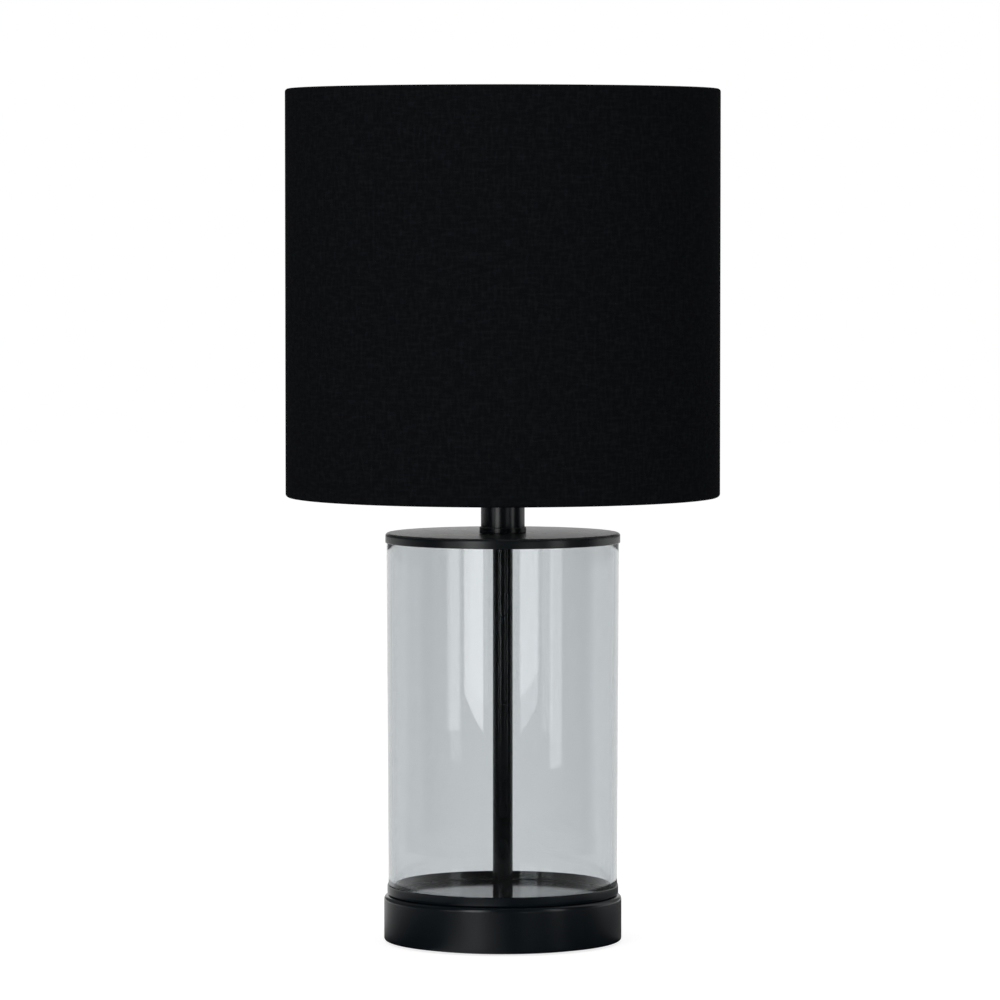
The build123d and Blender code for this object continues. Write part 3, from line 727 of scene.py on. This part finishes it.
makeBaseDrum(baseDrum)
makeFeltPad(feltPad)
tray = makePan("glassTray", "glass_tray", trayPan, True)
cap = makePan("topCap", "top_cap", pan, False)
makeGlassTube(glassTube)
rod = makeTube("uprightTube", "centre_tube", uprightTube["bore"] / 2 * mm, uprightTube["edge"] * mm)
for piece, paint in ((tray, gloss), (cap, dull), (rod, sleek)):
    piece.data.materials[0] = blackPaint(paint)
makeTube("neckTube", "neck_tube", span("neck_tube")[0] - neckTube["wall"] * mm, neckTube["edge"] * mm)
makeCollar(neckCollar)
makeShadeCloth(shadeCloth)
print("base, glass, neck and shade made")
makeHolderBody(holderBody)
makeScrewShell(screwShell)
makeBulbGlobe(bulbGlobe)
makeBulbCap(bulbCap)
makeBulbContact(bulbContact)
print("lampholder and bulb made")


# Floor and surroundings, in metres

stage = {"floorSize": 12.0, "floorDrop": 0.2 * mm, "glow": 0.8, "floorColour": "#bcbcbc", "fill": 0.42}
halfBounce = 0.5  # bounces are whole numbers, so this parts none from one or more


def seenDirectly(tree):
    # 1 for what the camera sees, also in a reflection or through glass, and 0 for light on matt surfaces
    path = addNode(tree, "ShaderNodeLightPath")
    seen = path.outputs["Is Camera Ray"]
    for ray in ("Is Glossy Ray", "Is Transmission Ray"):
        either = addNode(tree, "ShaderNodeMath", {0: seen, 1: path.outputs[ray]}, operation="MAXIMUM")
        seen = either.outputs[0]
    direct = addNode(tree, "ShaderNodeMath", {0: path.outputs["Diffuse Depth"], 1: halfBounce},
                     operation="LESS_THAN")
    both = addNode(tree, "ShaderNodeMath", {0: seen, 1: direct.outputs[0]}, operation="MULTIPLY")
    return both.outputs[0]


def makeFloor(d):
    bpy.ops.object.select_all(action="DESELECT")
    bpy.ops.mesh.primitive_plane_add(size=d["floorSize"], location=(0, 0, -d["floorDrop"]))
    floor = bpy.context.object
    floor.name = "studioFloor"
    material, tree = bareMaterial("paleStudioFloor")
    glow = addNode(tree, "ShaderNodeMath", {0: seenDirectly(tree), 1: d["glow"]}, operation="MULTIPLY")
    light = addNode(tree, "ShaderNodeEmission", {"Strength": glow.outputs[0]})
    matt = addNode(tree, "ShaderNodeBsdfDiffuse", {"Color": linear(d["floorColour"])})
    both = addNode(tree, "ShaderNodeAddShader", {0: light.outputs[0], 1: matt.outputs[0]})
    addNode(tree, "ShaderNodeOutputMaterial", {"Surface": both.outputs[0]})
    floor.data.materials.append(material)


def makeWorld(d):
    world = bpy.data.worlds.new("studioWorld")
    world.use_nodes = True
    tree = world.node_tree
    tree.nodes.clear()
    level = addNode(tree, "ShaderNodeMapRange", {"Value": seenDirectly(tree), "To Min": d["fill"],
                                                 "To Max": 1.0})
    light = addNode(tree, "ShaderNodeBackground", {"Color": (1, 1, 1, 1), "Strength": level.outputs[0]})
    addNode(tree, "ShaderNodeOutputWorld", {"Surface": light.outputs[0]})
    bpy.context.scene.world = world


# Upright soft lights: their ends on plan, as seen from the lamp's front

panels = {
    "leftSoftbox": {"left": (-0.88, -1.12), "right": (-0.37, -1.07), "bottom": 0, "top": 1.1,
                    "radiance": 3.3},
    "rightCard": {"left": (0.655, -0.616), "right": (0.79, -0.468), "bottom": 0, "top": 0.85,
                  "radiance": 1.8},
    "rightLowCard": {"left": (0.38, -1.32), "right": (0.94, -1.31), "bottom": 0, "top": 0.132,
                     "radiance": 1.4},
    "leftLowCard": {"left": (-0.953, -0.643), "right": (-0.784, -0.841), "bottom": 0, "top": 0.19,
                    "radiance": 1.5},
}
overhead = {"height": 2.6, "size": 1.2, "radiance": 2.4}


def makePanel(name, d):
    # faces the lamp between its two ends
    left, right, bottom, top = d["left"], d["right"], d["bottom"], d["top"]
    width, height = math.dist(left, right), top - bottom
    middle = ((left[0] + right[0]) / 2, (left[1] + right[1]) / 2, (bottom + top) / 2)
    turn = math.atan2(right[1] - left[1], right[0] - left[0])
    bpy.ops.object.light_add(type="AREA", location=middle, rotation=(math.radians(90), 0, turn))
    light = bpy.context.object
    light.name = name
    light.data.shape = "RECTANGLE"
    light.data.size = width
    light.data.size_y = height
    light.data.energy = d["radiance"] * math.pi * width * height
    light.visible_camera = False


def makeOverhead(d):
    # a soft light from above that lights matt surfaces and isn't mirrored
    bpy.ops.object.light_add(type="AREA", location=(0, 0, d["height"]))
    light = bpy.context.object
    light.name = "overheadSoftbox"
    light.data.size = d["size"]
    light.data.energy = d["radiance"] * math.pi * d["size"] ** 2
    light.visible_camera = False
    light.visible_glossy = False
    light.visible_transmission = False


# Rings round the lamp that glow only for mirrored rays: painted reflections of a studio and a table,
# black in front of the lamp and grey to white beside and behind it. Each has the radius where it starts
# and ends, the heights there, and grey levels at degrees from the front, where left is minus

flags = {
    "flagScreen": {"inner": 3.2, "outer": 0.4, "bottom": 0, "top": 11.0, "levels": (
        (-180, 0.9), (-177, 1), (-166, 1), (-162, 0.12), (-112, 0.1), (-104, 0), (100, 0),
        (106, 0.6), (125, 0.6), (140, 0.2), (162, 0.2), (166, 0.8), (180, 0.85))},
    "flagFloor": {"inner": 0.43, "outer": 3.2, "bottom": 0.001, "top": 0.001, "levels": (
        (-112, 1), (-106, 0.55), (-88, 0.35), (-80, 0.03), (88, 0.03), (98, 0.35), (104, 1))},
    # the two table rings are painted reflections of a pale table top round the base: no table stands there
    "tableEdge": {"inner": 0.27, "outer": 0.43, "bottom": 0.001, "top": 0.001, "levels": (
        (-110, 1), (-60, 0.45), (-45, 0.35), (-25, 0.08), (25, 0.08), (45, 0.35), (73, 0.5), (106, 1))},
    "tableTop": {"inner": 0.05, "outer": 0.27, "bottom": 0.001, "top": 0.001, "levels": (
        (-140, 0.55), (-129, 0.46), (-112, 0.25), (-100, 0.17), (-91, 0.09), (-70, 0), (-42, 0), (-32, 0.3),
        (-25, 0.45), (-17, 0.5), (-10, 0.35), (6, 0), (80, 0), (93, 0.1), (160, 0.1))},
}
flagSides = 180


def makeFlag(name, d):
    # a painted reflection: it glows only for mirrored rays, black in front of the lamp, grey and pale round
    # the rest
    material, tree = bareMaterial(name)
    material.cycles.emission_sampling = "NONE"
    place = addNode(tree, "ShaderNodeTexCoord").outputs["Object"]
    axes = addNode(tree, "ShaderNodeSeparateXYZ", {"Vector": place})
    front = addNode(tree, "ShaderNodeMath", {0: axes.outputs["Y"], 1: -1.0}, operation="MULTIPLY")
    angle = addNode(tree, "ShaderNodeMath", {0: axes.outputs["X"], 1: front.outputs[0]},
                    operation="ARCTAN2")
    share = addNode(tree, "ShaderNodeMapRange", {"Value": angle.outputs[0], "From Min": -math.pi,
                                                 "From Max": math.pi})
    ramp = addNode(tree, "ShaderNodeValToRGB", {"Fac": share.outputs[0]})
    stops = ramp.color_ramp.elements
    shares = [degrees / 360 + 0.5 for degrees, level in d["levels"]]
    stops[0].position, stops[1].position = shares[0], shares[-1]
    for between in shares[1:-1]:
        stops.new(between)
    for stop, (degrees, level) in zip(stops, d["levels"]):
        stop.color = (level, level, level, 1)
    path = addNode(tree, "ShaderNodeLightPath")
    mirrored = addNode(tree, "ShaderNodeMath", {0: path.outputs["Glossy Depth"], 1: halfBounce},
                       operation="GREATER_THAN")
    clear = addNode(tree, "ShaderNodeBsdfTransparent")
    # the glow in grey levels that mirrored rays see: the painted reflection
    reflectionGlow = addNode(tree, "ShaderNodeEmission", {"Color": ramp.outputs[0]})
    both = addNode(tree, "ShaderNodeMixShader", {0: mirrored.outputs[0], 1: clear.outputs[0],
                                                 2: reflectionGlow.outputs[0]})
    addNode(tree, "ShaderNodeOutputMaterial", {"Surface": both.outputs[0]})
    flag = startCircle(name, d["inner"], d["bottom"], flagSides)
    extrudeRing(d["inner"], d["bottom"], d["outer"], d["top"])
    bpy.ops.object.mode_set(mode="OBJECT")
    flag.data.materials.append(material)
    flag.visible_camera = False
    flag.visible_diffuse = False
    flag.visible_shadow = False


# Camera: lens and sensor in millimetres, the rest in metres

eye = {"distance": 2.85, "height": 0.368, "aim": 0.2217, "side": -0.0014, "clipEnd": 100,
       "lens": 205.2, "sensor": 36}


def makeCamera(d):
    tilt = math.atan2(d["height"] - d["aim"], d["distance"])
    bpy.ops.object.camera_add(location=(d["side"], -d["distance"], d["height"]),
                              rotation=(math.radians(90) - tilt, 0, 0))
    camera = bpy.context.object
    camera.data.lens = d["lens"]
    camera.data.sensor_width = d["sensor"]
    camera.data.clip_end = d["clipEnd"]
    bpy.context.scene.camera = camera


makeFloor(stage)
makeWorld(stage)
for name, panel in panels.items():
    makePanel(name, panel)
makeOverhead(overhead)
for name, flag in flags.items():
    makeFlag(name, flag)
makeCamera(eye)
bpy.context.scene.view_settings.view_transform = "Standard"
print("stage, light and camera made")
